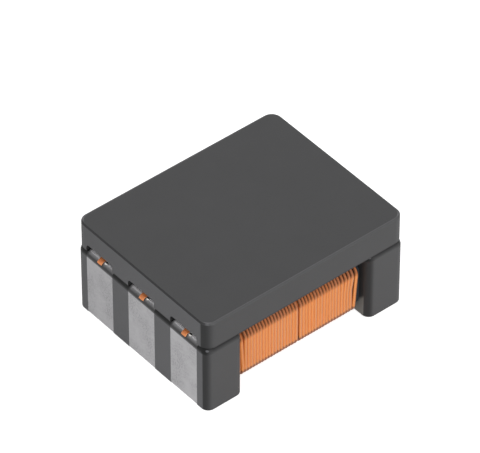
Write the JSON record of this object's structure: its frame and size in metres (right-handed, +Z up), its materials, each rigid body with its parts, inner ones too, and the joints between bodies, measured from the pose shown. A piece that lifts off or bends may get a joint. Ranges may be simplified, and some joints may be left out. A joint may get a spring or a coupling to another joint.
{
  "type": "common mode choke",
  "caption": "Surface-mount wire-wound common mode choke: H-shaped ferrite drum core, glued ferrite cover plate, enamelled copper winding and wrap-round silver terminals.",
  "frame": {"origin": "centre of the underside, in the plane of the six terminal feet", "axes": "+X along the winding axis, from the flange of end a to the flange of end b; +Z up, from the feet to the cover plate; +Y to the back"},
  "size_m": [0.0026, 0.002, 0.0012],
  "materials": {
    "ferrite_core": "sintered ferrite, dark grey, matt with faint grain",
    "ferrite_plate": "ground ferrite, dark grey, matt",
    "enamelled_copper": "copper wire under clear enamel, satin",
    "tinned_terminal": "tin over silver, matt and slightly mottled",
    "solder": "bright re-flowed tin",
    "glue": "cured black epoxy film"
  },
  "bodies": {
    "root": {"drum_core": "ferrite_core", "cover_plate": "ferrite_plate", "winding_1": "enamelled_copper", "winding_2": "enamelled_copper", "winding_3": "enamelled_copper", "terminal_a1": "tinned_terminal", "solder_a1": "solder", "terminal_a2": "tinned_terminal", "solder_a2": "solder", "terminal_a3": "tinned_terminal", "solder_a3": "solder", "glue_a1": "glue", "glue_a2": "glue", "glue_a3": "glue", "glue_a4": "glue", "terminal_b1": "tinned_terminal", "solder_b1": "solder", "terminal_b2": "tinned_terminal", "solder_b2": "solder", "terminal_b3": "tinned_terminal", "solder_b3": "solder", "glue_b1": "glue", "glue_b2": "glue", "glue_b3": "glue", "glue_b4": "glue"}
  },
  "joints": []
}
